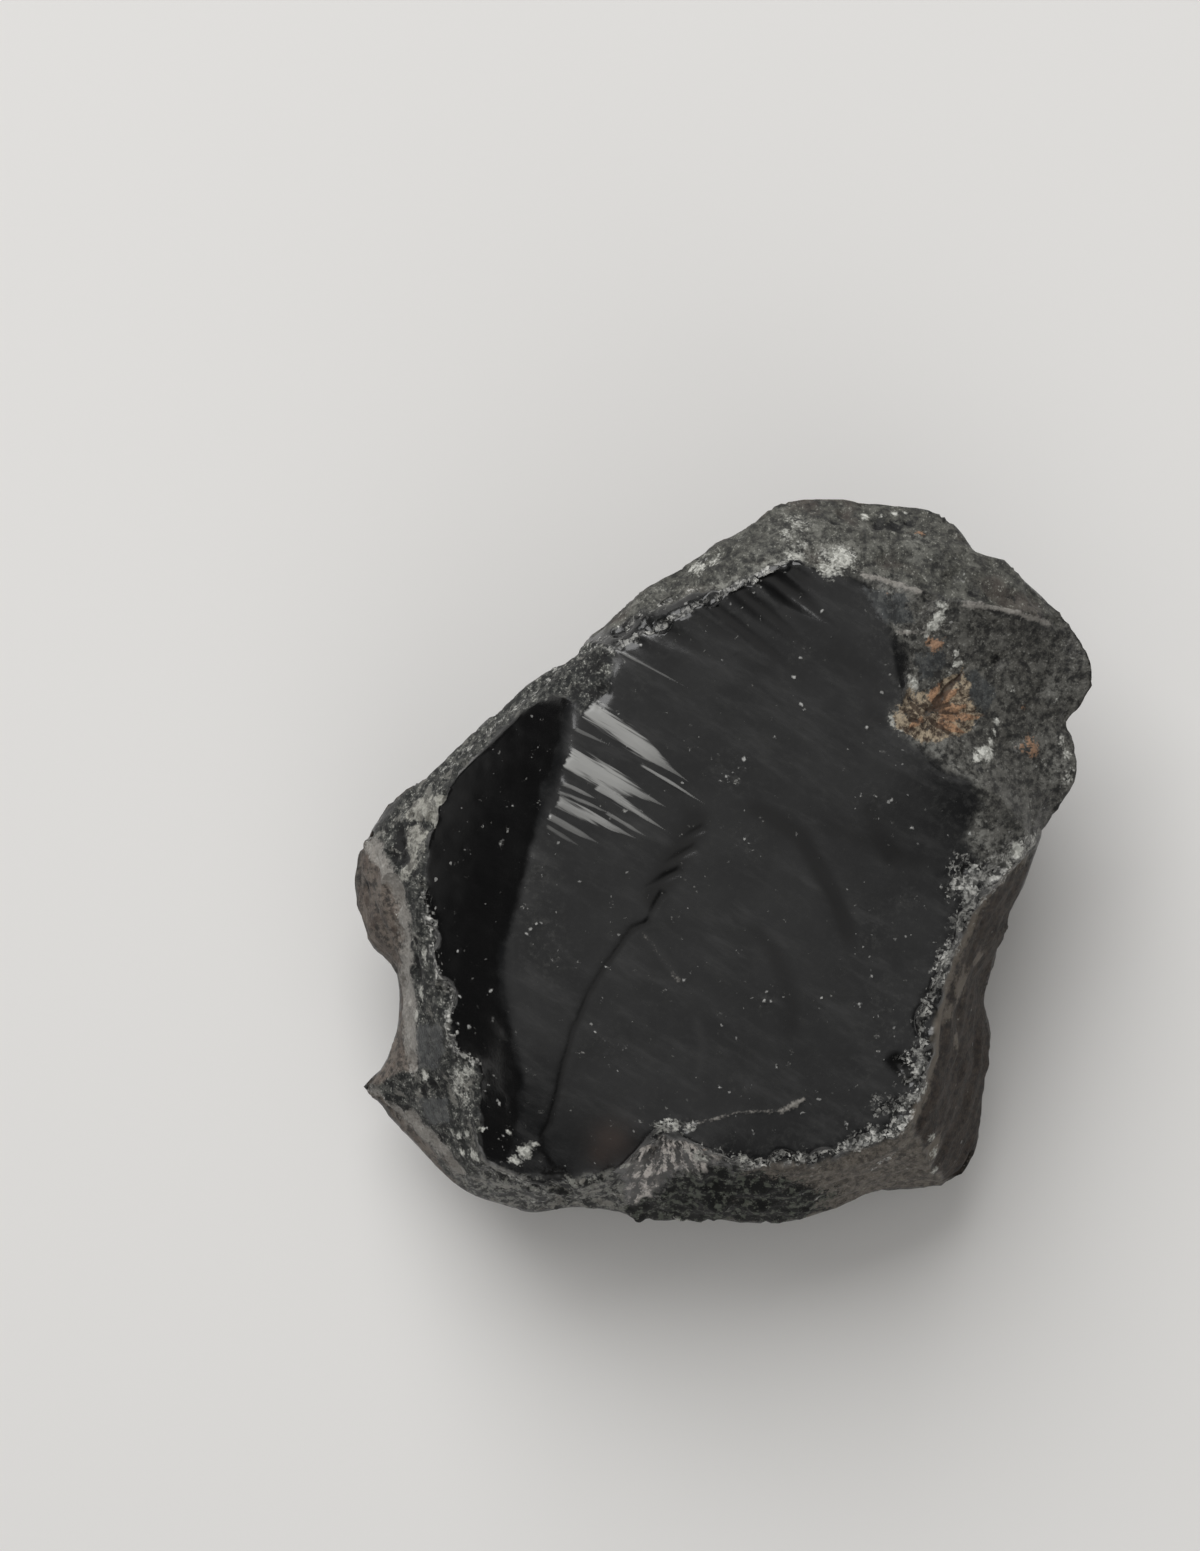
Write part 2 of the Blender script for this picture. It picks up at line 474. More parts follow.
def view_pixels(points):
    """Where points in millimetres show in the view from above."""
    scale = PIXEL * (1.0 - points[:, 2] / VIEW_HEIGHT)
    across = PICTURE_SIZE[0] / 2.0 + (points[:, 0] - VIEW_AXIS[0]) / scale
    down = PICTURE_SIZE[1] / 2.0 - (points[:, 1] - VIEW_AXIS[1]) / scale
    return np.column_stack((across, down))


def drop_on(surface, pixel):
    """Where the line of sight through a pixel meets the surface, or passes closest to it."""
    eye = Vector((*VIEW_AXIS, VIEW_HEIGHT))
    across = (pixel[0] - PICTURE_SIZE[0] / 2.0) * PIXEL
    up = (PICTURE_SIZE[1] / 2.0 - pixel[1]) * PIXEL
    aim = Vector((across, up, -VIEW_HEIGHT))
    place = surface.ray_cast(eye, aim)[0]
    if place is None:
        place = surface.find_nearest(eye + aim * BESIDE)[0]
    return np.array(place)


def drop_line(surface, line, step=8.0):
    """Places along a line of pixels, about every step pixels."""
    places = []
    for start, end in zip(line, line[1:]):
        count = max(1, round(math.dist(start, end) / step))
        for t in np.arange(count) / count:
            pixel = [start[k] + (end[k] - start[k]) * t for k in range(2)]
            places.append(drop_on(surface, pixel))
    return np.array([*places, drop_on(surface, line[-1])])


def unbroken(trail):
    """The longest run of a trail between the places where it falls off an edge."""
    falls = np.flatnonzero(np.linalg.norm(np.diff(trail, axis=0), axis=1) > LONGEST_STEP)
    return max(np.split(trail, falls + 1), key=len)


def nearby(points, places, reach):
    """The numbers of the points within reach of a box round the places."""
    low, high = places.min(axis=0) - reach, places.max(axis=0) + reach
    return np.flatnonzero(((points > low) & (points < high)).all(axis=1))


def line_distance(spots, line):
    """Distance of each spot from a line, and how far along it (0 to 1) its nearest point is."""
    line = np.asarray(line, float)
    lengths = np.linalg.norm(np.diff(line, axis=0), axis=1)
    starts = np.concatenate(((0.0,), np.cumsum(lengths)))
    best = np.full(len(spots), np.inf)
    along = np.zeros(len(spots))
    for start, end, length, before in zip(line, line[1:], lengths, starts):
        t = np.clip((spots - start) @ (end - start) / max(length, 1e-9) ** 2, 0.0, 1.0)
        gap = np.linalg.norm(spots - (start + t[:, None] * (end - start)), axis=1)
        closer = gap < best
        best = np.where(closer, gap, best)
        along = np.where(closer, (before + t * length) / starts[-1], along)
    return best, along


def inside_distance(spots, area):
    """Distance of each spot from the area's outline, positive inside."""
    ring = np.array((*area, area[0]), float)
    distance, _ = line_distance(spots, ring)
    crossings = np.zeros(len(spots), int)
    for (x0, y0), (x1, y1) in zip(ring, ring[1:]):
        spans = (y0 > spots[:, 1]) != (y1 > spots[:, 1])
        run = (spots[:, 1] - y0) / (y1 - y0 if y1 != y0 else 1.0) * (x1 - x0) + x0
        crossings += spans & (spots[:, 0] < run)
    return np.where(crossings % 2 == 1, distance, -distance)


def fading(along, part):
    """1 along a line, fading to 0 over this part of it at either end."""
    return smooth_step(0.0, part, along) * (1.0 - smooth_step(1.0 - part, 1.0, along))


def wedge(spots, start, end, width):
    """A tapering stroke with a blunt start and a pointed end.

    Gives how far inside it each spot is (1 on its middle line, 0 at its sides, less outside), how
    far along (0 to 1 from start to end), and its half width there.
    """
    start, end = np.array(start, float), np.array(end, float)
    length = np.linalg.norm(end - start)
    way = (end - start) / length
    along = (spots - start) @ way / length
    across = np.abs((spots - start) @ np.array((-way[1], way[0])))
    half = 0.5 * width * np.clip(1.0 - smooth_step(0.35, 1.08, along), 0.06, 1.0)
    ends = np.minimum(along * length / 6.0, (1.04 - along) * length / 12.0)
    return np.clip(np.minimum(1.0 - across / half, ends), -1.0, 1.0), along, half


# ---- the skin ---------------------------------------------------------------------------------


def cad_skin():
    """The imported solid's points in millimetres and its triangles."""
    welded = bmesh.new()
    welded.from_mesh(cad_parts[NODE].data)
    bmesh.ops.remove_doubles(welded, verts=welded.verts, dist=1e-7)
    bmesh.ops.triangulate(welded, faces=welded.faces)
    points = np.array([vertex.co for vertex in welded.verts]) / MM
    triangles = np.array([[vertex.index for vertex in face.verts] for face in welded.faces])
    welded.free()
    return points, triangles


def edges_of(triangles):
    """Every edge once, and the numbers of each triangle's edges 0-1, 1-2 and 2-0."""
    sides = np.concatenate([triangles[:, [k, (k + 1) % 3]] for k in range(3)])
    edges, number = np.unique(np.sort(sides, axis=1), axis=0, return_inverse=True)
    return edges, number.reshape(3, -1).T


def sum_at(places, values, count):
    """The sum of the three-part values at each place."""
    return np.column_stack([np.bincount(places, values[:, axis], count) for axis in range(3)])


def face_spreads(points, triangles):
    """Each triangle's normal, as long as twice its area."""
    a, b, c = (points[triangles[:, k]] for k in range(3))
    return np.cross(b - a, c - a)


def unit(vectors):
    return vectors / np.maximum(np.linalg.norm(vectors, axis=1), 1e-12)[:, None]


def point_normals(points, triangles):
    spreads = face_spreads(points, triangles)
    return unit(sum(sum_at(triangles[:, k], spreads, len(points)) for k in range(3)))


def edge_keys(pairs):
    pairs = np.sort(np.asarray(pairs), axis=1).astype(np.int64)
    return pairs[:, 0] << 32 | pairs[:, 1]


def sharp_edges(points, triangles):
    """The edges at which the solid turns by more than CREASE_ANGLE, but none along SOFT_EDGE."""
    edges, numbers = edges_of(triangles)
    normals = unit(face_spreads(points, triangles))
    pairs = (np.argsort(numbers.ravel(), kind="stable") // 3).reshape(-1, 2)
    turn = np.einsum("ij,ij->i", normals[pairs[:, 0]], normals[pairs[:, 1]])
    middles = points[edges].mean(axis=1)
    gap, _ = line_distance(view_pixels(middles), SOFT_EDGE)
    soft = (gap < SOFT_REACH) & (middles[:, 2] > SOFT_LEAST_HEIGHT)
    return edges[(turn < math.cos(CREASE_ANGLE)) & ~soft]


def neighbour_sums(points, edges, count):
    """At each point, the sum of the points at the other ends of its edges."""
    forward = sum_at(edges[:, 0], points[edges[:, 1]], count)
    return forward + sum_at(edges[:, 1], points[edges[:, 0]], count)


def halved(edges, chosen, middles):
    """The two halves of each chosen edge, given the numbers of the edges' middle points."""
    return np.vstack((
        np.column_stack((edges[chosen, 0], middles[chosen])),
        np.column_stack((middles[chosen], edges[chosen, 1])),
    ))


def loop_level(points, triangles, creases):
    """One level of Loop subdivision: smooth, but sharp along the creases."""
    count = len(points)
    edges, numbers = edges_of(triangles)
    creased = np.isin(edge_keys(edges), edge_keys(creases))
    opposite = np.zeros((len(edges), 3))
    for k in range(3):
        opposite += sum_at(numbers[:, k], points[triangles[:, (k + 2) % 3]], len(edges))
    ends = points[edges].sum(axis=1)
    middles = np.where(creased[:, None], 0.5 * ends, 0.375 * ends + 0.125 * opposite)

    valence = np.bincount(edges.ravel(), minlength=count)
    weight = np.where(valence == 3, 3.0 / 16.0, 3.0 / 8.0 / np.maximum(valence, 1))[:, None]
    around = neighbour_sums(points, edges, count)
    smooth = points * (1.0 - valence[:, None] * weight) + weight * around
    on_crease = np.bincount(edges[creased].ravel(), minlength=count)
    along = 0.75 * points + 0.125 * neighbour_sums(points, edges[creased], count)
    moved = np.where((on_crease >= 2)[:, None], along, smooth)
    moved = np.where((on_crease >= 3)[:, None], points, moved)

    m = numbers + count
    t = triangles
    finer = np.concatenate((
        np.column_stack((t[:, 0], m[:, 0], m[:, 2])), np.column_stack((m[:, 0], t[:, 1], m[:, 1])),
        np.column_stack((m[:, 2], m[:, 1], t[:, 2])), m,
    ))
    return np.vstack((moved, middles)), finer, halved(edges, creased, np.arange(len(edges)) + count)


def split_long(points, triangles, creases, longest):
    """Cuts each side longer than its ends allow, and the triangles beside it."""
    edges, numbers = edges_of(triangles)
    ends = points[edges]
    length = np.linalg.norm(ends[:, 0] - ends[:, 1], axis=1)
    marked = length > longest[edges].mean(axis=1)
    middle_of = np.full(len(edges), -1)
    middle_of[marked] = len(points) + np.arange(marked.sum())
    creased = np.isin(edge_keys(edges), edge_keys(creases))
    creases = np.vstack((edges[creased & ~marked], halved(edges, creased & marked, middle_of)))

    middles = middle_of[numbers]
    cuts = (middles >= 0).sum(axis=1)
    first = np.zeros(len(triangles), int)
    for k in range(3):  # turn each triangle so that its cut sides come first
        one = (cuts == 1) & (middles[:, k] >= 0)
        two = (cuts == 2) & (middles[:, (k + 2) % 3] < 0)
        first[one | two] = k
    turn = (first[:, None] + np.arange(3)) % 3
    corners = np.hstack((
        np.take_along_axis(triangles, turn, axis=1), np.take_along_axis(middles, turn, axis=1)
    ))  # columns 0 to 2 are corners, 3 to 5 the middles of sides 0-1, 1-2 and 2-0
    patterns = {
        0: ((0, 1, 2),),
        1: ((0, 3, 2), (3, 1, 2)),
        2: ((3, 1, 4), (0, 3, 4), (0, 4, 2)),
        3: ((0, 3, 5), (3, 1, 4), (5, 4, 2), (3, 4, 5)),
    }
    pieces = [
        corners[cuts == number][:, pattern]
        for number, shapes in patterns.items() for pattern in shapes
    ]
    return np.vstack((points, ends[marked].mean(axis=1))), np.concatenate(pieces), creases


def relax(points, triangles, creases):
    """Evens out the skin, each crease only along itself."""
    edges, _ = edges_of(triangles)
    count = len(points)
    valence = np.bincount(edges.ravel(), minlength=count)
    on_crease = np.bincount(creases.ravel(), minlength=count)
    for _ in range(RELAX_ROUNDS):
        around = neighbour_sums(points, edges, count) / valence[:, None]
        along = neighbour_sums(points, creases, count) / np.maximum(on_crease, 1)[:, None]
        target = np.where((on_crease == 2)[:, None], along, around)
        target = np.where((on_crease >= 3)[:, None], points, target)
        points = points + 0.5 * (target - points)
    return points


def tree_of(places):
    tree = KDTree(len(places))
    for index, place in enumerate(places):
        tree.insert(place, index)
    tree.balance()
    return tree


def fine_places(surface):
    """Places that need the finest triangles, and those that need fine ones."""
    spots = [spot[:2] for spot in (*PALE_SPOTS, *RUST_SPOTS, *SPECKS)]
    finest = [drop_on(surface, spot) for spot in spots]
    for start, end, width, _ in PLUMES:
        finest += list(drop_line(surface, (start, end), 3.0))
        across = np.array((end[1] - start[1], start[0] - end[0])) / math.dist(start, end)
        side = 0.25 * width * across
        for way in (-1.0, 1.0):
            begin, aim = start + way * side, 0.5 * (np.array(start) + end) + way * side
            finest += list(drop_line(surface, (begin, aim), 3.0))
    for line in (CRACK, FRONT_RIDGE):
        finest += list(drop_line(surface, line, 3.0))
    finest += list(drop_line(surface, (*RUST_STAR, RUST_CENTRE, RUST_STAR[6]), 4.0))
    lines = [line for line, _, _ in BRUISES]
    lines += [(start, end) for start, end, _, _ in STREAKS]
    fine = [drop_on(surface, spot[:2]) for spot in (*DARK_SPOTS, *FRONT_LUMPS)]
    for line in (*lines, CHIP_TOP, LEFT_RIM, RIGHT_RIM, DARK_EDGE):
        fine += list(drop_line(surface, line, 6.0))
    return tree_of(finest), tree_of(fine)


def longest_sides(points, triangles, finest, fine):
    """How long a triangle's side may be at each point."""
    facing = point_normals(points, triangles)[:, 2]
    spots = view_pixels(points)
    grainy = np.maximum(inside_distance(spots, SKIN), inside_distance(spots, ROUGH_BREAK)) > -4.0
    upper = np.where(grainy, SKIN_EDGE, UPPER_EDGE)
    side = np.where(facing > -0.05, upper, LOWER_EDGE)
    for tree, edge, reach in ((fine, FINE_EDGE, FINE_REACH), (finest, FINEST_EDGE, FINEST_REACH)):
        gap = np.array([tree.find(point)[2] for point in points])
        side = edge + (side - edge) * smooth_step(reach, 2.2 * reach, gap)
    return side


# ---- flake scars and chips --------------------------------------------------------------------


def strike(points, place, outward, radius, depth, wave=0.0):
    """Presses a ball into the skin at a place: what it would bite off moves back to its surface.

    With a wave, ripples run round the upper end of the scar, as they do round a real blow.
    """
    centre = place + outward * (radius - depth)
    near = nearby(points, centre[None], radius)
    away = points[near] - centre
    reach = np.linalg.norm(away, axis=1)
    bitten = reach < radius
    near, away, reach = near[bitten], away[bitten], reach[bitten]
    push = radius - reach
    if wave:
        blow = place + np.array((0.0, 0.0, 1.0)) * math.sqrt(2.0 * radius * depth)
        gap = np.linalg.norm(points[near] - blow, axis=1)
        ripples = np.sin(gap * 2.0 * math.pi / wave) * SCAR_RIPPLE
        push = push + ripples * smooth_step(0.0, 0.4 * depth, push)
    points[near] += away / reach[:, None] * push[:, None]


def strike_low_scars(points, surface):
    for azimuth, elevation, radius, depth in LOW_SCARS:
        az, el = math.radians(azimuth), math.radians(elevation)
        way = Vector((math.cos(az) * math.cos(el), math.sin(az) * math.cos(el), math.sin(el)))
        place, normal, _, _ = surface.ray_cast(MIDDLE + way * OUTSIDE, -way)
        strike(points, np.array(place), np.array(normal), radius, depth, SCAR_WAVE)


def strike_rims(points, normals, surface):
    """Rows of small chips where the rims were bruised."""
    draw = 0
    for line, count, least, greatest in CHIPPED_LINES:
        trail = drop_line(surface, line, 4.0)
        for k in range(count):
            draw += 1
            t = (k + chance(draw, 81)) / count * (len(trail) - 1.001)
            place = trail[int(t)] + (trail[int(t) + 1] - trail[int(t)]) * (t % 1.0)
            near = nearby(points, place[None], CHIP_REACH)
            if len(near) == 0:
                continue
            outward = normals[near].mean(axis=0)
            tilt = np.array([chance(draw, seed) - 0.5 for seed in (82, 83, 84)])
            outward = outward / np.linalg.norm(outward) + 0.9 * tilt
            outward /= np.linalg.norm(outward)
            radius = least + (greatest - least) * chance(draw, 85) ** 2
            strike(points, place, outward, radius, (0.16 + 0.16 * chance(draw, 86)) * radius)


# ---- features ---------------------------------------------------------------------------------


def measure_features(points, normals, surface):
    """How strongly each feature shows at each point, from 0 to 1."""
    spots = view_pixels(points)
    ragged = spots + RAGGED * np.column_stack((
        rough_noise(points, 0.7, 3, 11), rough_noise(points, 0.7, 3, 12)
    ))
    steep = 1.0 - smooth_step(0.15, 0.55, normals[:, 2])
    ragged[:, 0] += WALL_RAGGED * steep * rough_noise(points, 3.0, 4, 16)
    shifts = [rough_noise(points, 0.5, 3, seed) for seed in (13, 14, 15)]
    torn = points + TORN * np.column_stack(shifts)
    up = smooth_step(-0.12, 0.10, normals[:, 2])
    found = {"up": up}

    def area(outline, blur, spread=ragged):
        return up * smooth_step(-blur, blur, inside_distance(spread, outline))

    def blobs(places):
        total = np.zeros(len(points))
        for x, y, radius, *more in places:
            strength = more[0] if more else 1.0
            place = drop_on(surface, (x, y))
            size = radius * PIXEL_ON_TOP
            near = nearby(torn, place[None], 3.0 * size)
            gap = np.linalg.norm(torn[near] - place, axis=1) / size
            total[near] = np.maximum(total[near], strength * np.exp(-(gap**2)))
        return total

    for name, (blur, *outlines) in AREAS.items():
        found[name] = np.maximum.reduce([area(outline, blur) for outline in outlines])
    found["arch"] = area(ARCH, 12.0, spots)

    crushed = np.zeros(len(points))
    for line, width, strength in BRUISES:
        trail = unbroken(drop_line(surface, line))
        reach = width * PIXEL_ON_TOP
        near = nearby(torn, trail, 1.6 * reach)
        gap, _ = line_distance(torn[near], trail)
        band = strength * np.clip(1.12 - 0.75 * gap / reach, 0.0, 1.0)
        crushed[near] = np.maximum(crushed[near], band)
    found["crushed"] = crushed
    dusty = np.zeros(len(points))
    for line in DUSTY_LINES:
        trail = drop_line(surface, line)
        near = nearby(points, trail, DUSTY_REACH)
        gap, _ = line_distance(points[near], trail)
        dusty[near] = np.maximum(dusty[near], 1.0 - smooth_step(0.1, DUSTY_REACH, gap))
    found["dusty"] = np.maximum(dusty, blobs(DUSTY_PATCHES))
    thread = np.zeros(len(points))
    for line, width, strength in THREADS:
        distance, along = line_distance(0.7 * spots + 0.3 * ragged, line)
        band = strength * fading(along, 0.10) * (1.0 - distance / width)
        thread = np.maximum(thread, band)
    found["thread"] = smooth_step(-0.6, -0.2, normals[:, 2]) * thread
    found.update((name, blobs(places)) for name, places in BLOBS.items())
    for name, needles in (("needle", RUST_NEEDLES), ("dark_needle", DARK_NEEDLES)):
        shape = np.full(len(points), -1.0)
        for start, end, width in needles:
            shape = np.maximum(shape, wedge(0.8 * spots + 0.2 * ragged, start, end, 1.5 * width)[0])
        found[name] = shape

    plume = np.full(len(points), -1.0)
    frost = np.zeros(len(points))
    for start, end, width, brightness in PLUMES:
        inside, along, _ = wedge(spots, start, end, width)
        light = brightness * (1.0 - 0.75 * smooth_step(0.45, 1.05, along))
        frost = np.where(inside > plume, light, frost)
        plume = np.maximum(plume, inside)
    found["plume"] = np.minimum(plume, 2.0 * up - 1.0)
    found["frost"] = frost
    streak, fall = np.zeros(len(points)), np.zeros(len(points))
    for start, end, width, darkness in STREAKS:
        inside, along, half = wedge(ragged * 0.2 + spots * 0.8, start, end, 1.4 * width)
        fade = 1.0 - 0.7 * smooth_step(0.2, 1.0, along)
        inside = darkness * up * smooth_step(0.0, 1.0, inside) * fade
        streak = np.maximum(streak, inside)
        fall = np.maximum(fall, inside * half * PIXEL_ON_TOP * STREAK_FALL)
    found["streak"], found["fall"] = streak, fall
    arc = np.zeros(len(points))
    for line, width, darkness in ARCS:
        distance, along = line_distance(spots, line)
        arc += darkness * fading(along, 0.15) * (1.0 - smooth_step(0.0, width, distance))
    found["arc"] = up * arc
    distance, _ = line_distance(0.6 * spots + 0.4 * ragged, CRACK)
    found["crack"] = 0.8 * up * (1.0 - smooth_step(0.0, 6.5, distance))
    return found


def carve(points, normals, found):
    """How far each point moves along its normal: the relief of every feature.

    Each line is a height, where it applies, and a noise with its bump size and, last, its seed.
    """
    up, down = found["up"], 1.0 - found["up"]
    weathered = np.maximum(found["skin"], 0.6 * found["rough"])
    walls = np.maximum.reduce([found["right_wall"], found["left_wall"], found["front_wall"]])
    broken = np.maximum.reduce([weathered, walls, found["crushed"], found["shelf"]])
    glass = up * (1.0 - broken)
    spots = view_pixels(points)
    depth = np.zeros(len(points))

    depth += 0.075 * glass * value_noise(points / (4.2, 4.2, 9.0), 21)  # broad unevenness
    depth += 0.008 * glass * value_noise(points / 1.1, 22)
    gap = np.linalg.norm(spots - BLOW, axis=1)
    depth += 0.016 * glass * found["arch"] * np.sin(gap / 8.5 + 0.8 * value_noise(points / 3.0, 24))
    depth -= 0.05 * found["crack"]
    depth -= 0.05 * np.maximum(found["arc"], 0.0) * (1.0 - weathered)
    beside_skin = smooth_step(0.0, 12.0, -inside_distance(spots, SKIN))
    depth -= found["fall"] * (1.0 - weathered) * beside_skin
    depth += 0.05 * np.maximum(found["plume"], 0.0) * smooth_step(0.15, 0.6, found["frost"])
    depth += 0.02 * smooth_step(0.3, 0.8, found["speck"])
    depth += 0.02 * found["scar"] * rough_noise(points, 0.45, 2, 23)

    depth += 0.26 * weathered * rough_noise(points, 2.1, 4, 31)  # skin: knobs and pits
    depth -= 0.20 * weathered * smooth_step(0.20, 0.8, value_noise(points / 0.9, 32))
    depth -= 0.25 * found["dark_spot"]
    depth += 0.10 * found["pale"] * (0.6 + 0.4 * rough_noise(points, 0.3, 2, 33))
    depth += 0.10 * np.maximum(found["needle"], 0.0) - 0.06 * found["rust"]
    depth += 0.10 * found["rust"] * rough_noise(points, 0.35, 2, 34)
    depth -= 0.10 * np.maximum(found["dark_needle"], 0.0)
    depth += 0.10 * smooth_step(0.3, 0.8, found["rust_spot"])

    bruise = rough_noise(points, 0.42, 3, 41)  # rims: crumbled facets
    depth += found["crushed"] * (0.17 * bruise - 0.06)
    rugged = found["shelf"] * (1.0 - np.maximum(found["pale_facet"], found["blue_facet"]))
    depth += 0.20 * rugged * rough_noise(points, 1.0, 4, 42)
    fan = np.arctan2(*(spots - CHIP_BLOW).T)
    ribs = value_noise(np.column_stack((fan * 16.0, points[:, 2] / 4.0, 0.0 * fan)), 43)
    depth += 0.10 * found["chip"] * ribs
    depth += 0.20 * found["lump"] * (1.0 + 0.5 * bruise)
    depth += 0.26 * found["moss"] * rough_noise(points / (1.0, 1.0, 1.6), 0.9, 3, 45)
    depth += 0.32 * found["lower_front"] * rough_noise(points / (1.0, 1.0, 1.6), 0.8, 4, 44)
    depth += 0.05 * found["thread"]

    bands = value_noise(points / (2.2, 2.2, 0.6), 51)
    bands += 0.5 * value_noise(points / (0.7, 0.7, 0.3), 52)
    depth += 0.10 * walls * bands + 0.16 * walls * rough_noise(points, 1.5, 4, 53)

    flat = 1.0 - smooth_step(0.02, 0.5, points[:, 2])
    depth += down * (1.0 - flat) * (0.05 * rough_noise(points, 2.6, 3, 73))
    depth += down * found["weathered"] * 0.13 * rough_noise(points, 0.9, 4, 74)
    depth -= down * flat * 0.05 * (0.5 + 0.5 * rough_noise(points, 1.4, 3, 75))
    return depth


def weathered_below(points, normals):
    """Patches of old weathered skin on the underside and back."""
    patches = rough_noise(points, 9.0, 5, 71) + 0.16 * rough_noise(points, 1.3, 3, 72)
    patches += 0.35 * smooth_step(4.0, 12.0, points[:, 1])
    return smooth_step(0.04, 0.26, patches) * (1.0 - smooth_step(-0.12, 0.10, normals[:, 2]))


def edge_wear(points, triangles):
    """How sharply the skin turns outwards at each point: edges wear pale."""
    edges, _ = edges_of(triangles)
    count = len(points)
    normals = point_normals(points, triangles)
    valence = np.bincount(edges.ravel(), minlength=count)
    around = neighbour_sums(points, edges, count) / valence[:, None]
    length = np.linalg.norm(points[edges[:, 0]] - points[edges[:, 1]], axis=1)
    size = sum(np.bincount(edges[:, k], length, count) for k in range(2)) / valence
    bend = np.einsum("ij,ij->i", points - around, normals) / size
    return smooth_step(0.10, 0.30, bend)


def make_stone():
    points, triangles = cad_skin()
    creases = sharp_edges(points, triangles)
    for _ in range(LOOP_LEVELS):
        points, triangles, creases = loop_level(points, triangles, creases)
    surface = BVHTree.FromPolygons(points.tolist(), triangles.tolist())
    finest, fine = fine_places(surface)
    for _ in range(SPLIT_ROUNDS):
        longest = longest_sides(points, triangles, finest, fine)
        points, triangles, creases = split_long(points, triangles, creases, longest)
    points = relax(points, triangles, creases)
    normals = point_normals(points, triangles)
    found = measure_features(points, normals, surface)
    found["weathered"] = weathered_below(points, normals)
    strike_low_scars(points, surface)
    strike_rims(points, normals, surface)
    normals = point_normals(points, triangles)
    points = points + normals * carve(points, normals, found)[:, None]
    low, high = (np.array(corner) / MM for corner in cad_box)
    points = np.clip(points, low, high)
    found["edge"] = edge_wear(points, triangles) * (1.0 - 0.7 * found["up"])

    mesh = bpy.data.meshes.new("obsidian_skin")
    mesh.from_pydata(points * MM, [], triangles)
    mesh.shade_smooth()
    for name, values in found.items():
        attribute = mesh.attributes.new(name, "FLOAT", "POINT")
        attribute.data.foreach_set("value", values.astype(np.float32))
    stone = bpy.data.objects.new("obsidian_stone", mesh)
    bpy.context.scene.collection.objects.link(stone)
    return stone


# ---- material ---------------------------------------------------------------------------------


